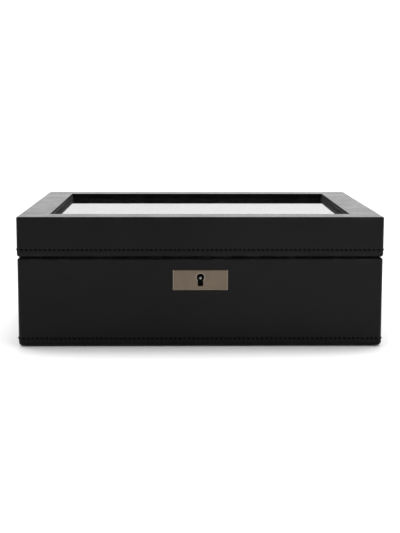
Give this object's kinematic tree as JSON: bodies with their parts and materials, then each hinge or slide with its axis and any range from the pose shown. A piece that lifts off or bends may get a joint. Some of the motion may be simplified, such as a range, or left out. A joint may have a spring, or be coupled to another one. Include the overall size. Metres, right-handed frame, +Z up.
{
  "type": "watch box",
  "caption": "Leather-wrapped watch box with a hinged glass-window lid, a front lock and removable watch pillows in a divided tray.",
  "frame": {"origin": "the middle of the box's footprint, on the surface that it stands on", "axes": "+X to the right seen from the front, +Y from the front with the lock to the back with the hinges, +Z up"},
  "size_m": [0.336, 0.2876, 0.1203],
  "materials": {
    "black_leather": "smooth black leather, semi-gloss, with a fine grain",
    "board": "raw board",
    "suede": "short-napped suede, charcoal grey",
    "pillow_suede": "short-napped suede over foam",
    "felt": "pressed felt",
    "gunmetal": "satin gunmetal plating",
    "steel": "plain steel, turned",
    "blued_steel": "blued and oiled",
    "glass": "clear float glass",
    "foam_tape": "black foam tape"
  },
  "bodies": {
    "base": {"base_front_board": "board", "base_back_board": "board", "base_left_board": "board", "base_right_board": "board", "base_floor_board": "board", "base_leather": "black_leather", "bottom_panel": "felt", "floor_pad": "suede", "base_lining_panels": "suede", "long_divider_front": "suede", "long_divider_rear": "suede", "short_divider_1": "suede", "short_divider_2": "suede", "short_divider_3": "suede", "short_divider_4": "suede", "lock_plate": "gunmetal", "lock_case": "blued_steel", "lock_cap": "blued_steel", "lock_top_plate": "blued_steel", "key_post": "steel", "lock_detent_spring": "blued_steel", "lock_screws": "blued_steel", "base_hinge_leaf_left": "gunmetal", "base_hinge_leaf_right": "gunmetal", "hinge_pin_left": "gunmetal", "hinge_pin_right": "gunmetal", "base_hinge_screws": "gunmetal"},
    "lid": {"lid_front_board": "board", "lid_back_board": "board", "lid_left_board": "board", "lid_right_board": "board", "lid_top_frame": "board", "lid_leather": "black_leather", "window_bead": "black_leather", "glass_pane": "glass", "glazing_tape": "foam_tape", "glass_packing_strips": "board", "glass_retaining_frame": "suede", "lid_lining_panels": "suede", "lock_strike_plate": "blued_steel", "strike_screws": "blued_steel", "lid_hinge_leaf_left": "gunmetal", "lid_hinge_leaf_right": "gunmetal", "lid_hinge_screws": "gunmetal"},
    "lock_bolt": {"lock_bolt": "blued_steel"},
    "pillow_front_1": {"pillow_front_1": "pillow_suede"},
    "pillow_front_2": {"pillow_front_2": "pillow_suede"},
    "pillow_front_3": {"pillow_front_3": "pillow_suede"},
    "pillow_front_4": {"pillow_front_4": "pillow_suede"},
    "pillow_front_5": {"pillow_front_5": "pillow_suede"},
    "pillow_middle_1": {"pillow_middle_1": "pillow_suede"},
    "pillow_middle_2": {"pillow_middle_2": "pillow_suede"},
    "pillow_middle_3": {"pillow_middle_3": "pillow_suede"},
    "pillow_middle_4": {"pillow_middle_4": "pillow_suede"},
    "pillow_middle_5": {"pillow_middle_5": "pillow_suede"},
    "pillow_rear_1": {"pillow_rear_1": "pillow_suede"},
    "pillow_rear_2": {"pillow_rear_2": "pillow_suede"},
    "pillow_rear_3": {"pillow_rear_3": "pillow_suede"},
    "pillow_rear_4": {"pillow_rear_4": "pillow_suede"},
    "pillow_rear_5": {"pillow_rear_5": "pillow_suede"}
  },
  "joints": [
    {"name": "lid_hinge", "type": "hinge", "parent": "base", "child": "lid", "pos_m": [0, 0.142, 0.0828], "axis": [-1, 0, 0], "range_deg": [0, 100]},
    {"name": "lock_bolt_slide", "type": "slide", "parent": "base", "child": "lock_bolt", "axis": [1, 0, 0], "range_m": [0, 0.0035]},
    {"name": "pillow_front_1_lift", "type": "slide", "parent": "base", "child": "pillow_front_1", "axis": [0, 0, 1], "range_m": [0, 0.036]},
    {"name": "pillow_front_2_lift", "type": "slide", "parent": "base", "child": "pillow_front_2", "axis": [0, 0, 1], "range_m": [0, 0.036]},
    {"name": "pillow_front_3_lift", "type": "slide", "parent": "base", "child": "pillow_front_3", "axis": [0, 0, 1], "range_m": [0, 0.036]},
    {"name": "pillow_front_4_lift", "type": "slide", "parent": "base", "child": "pillow_front_4", "axis": [0, 0, 1], "range_m": [0, 0.036]},
    {"name": "pillow_front_5_lift", "type": "slide", "parent": "base", "child": "pillow_front_5", "axis": [0, 0, 1], "range_m": [0, 0.036]},
    {"name": "pillow_middle_1_lift", "type": "slide", "parent": "base", "child": "pillow_middle_1", "axis": [0, 0, 1], "range_m": [0, 0.036]},
    {"name": "pillow_middle_2_lift", "type": "slide", "parent": "base", "child": "pillow_middle_2", "axis": [0, 0, 1], "range_m": [0, 0.036]},
    {"name": "pillow_middle_3_lift", "type": "slide", "parent": "base", "child": "pillow_middle_3", "axis": [0, 0, 1], "range_m": [0, 0.036]},
    {"name": "pillow_middle_4_lift", "type": "slide", "parent": "base", "child": "pillow_middle_4", "axis": [0, 0, 1], "range_m": [0, 0.036]},
    {"name": "pillow_middle_5_lift", "type": "slide", "parent": "base", "child": "pillow_middle_5", "axis": [0, 0, 1], "range_m": [0, 0.036]},
    {"name": "pillow_rear_1_lift", "type": "slide", "parent": "base", "child": "pillow_rear_1", "axis": [0, 0, 1], "range_m": [0, 0.036]},
    {"name": "pillow_rear_2_lift", "type": "slide", "parent": "base", "child": "pillow_rear_2", "axis": [0, 0, 1], "range_m": [0, 0.036]},
    {"name": "pillow_rear_3_lift", "type": "slide", "parent": "base", "child": "pillow_rear_3", "axis": [0, 0, 1], "range_m": [0, 0.036]},
    {"name": "pillow_rear_4_lift", "type": "slide", "parent": "base", "child": "pillow_rear_4", "axis": [0, 0, 1], "range_m": [0, 0.036]},
    {"name": "pillow_rear_5_lift", "type": "slide", "parent": "base", "child": "pillow_rear_5", "axis": [0, 0, 1], "range_m": [0, 0.036]}
  ]
}
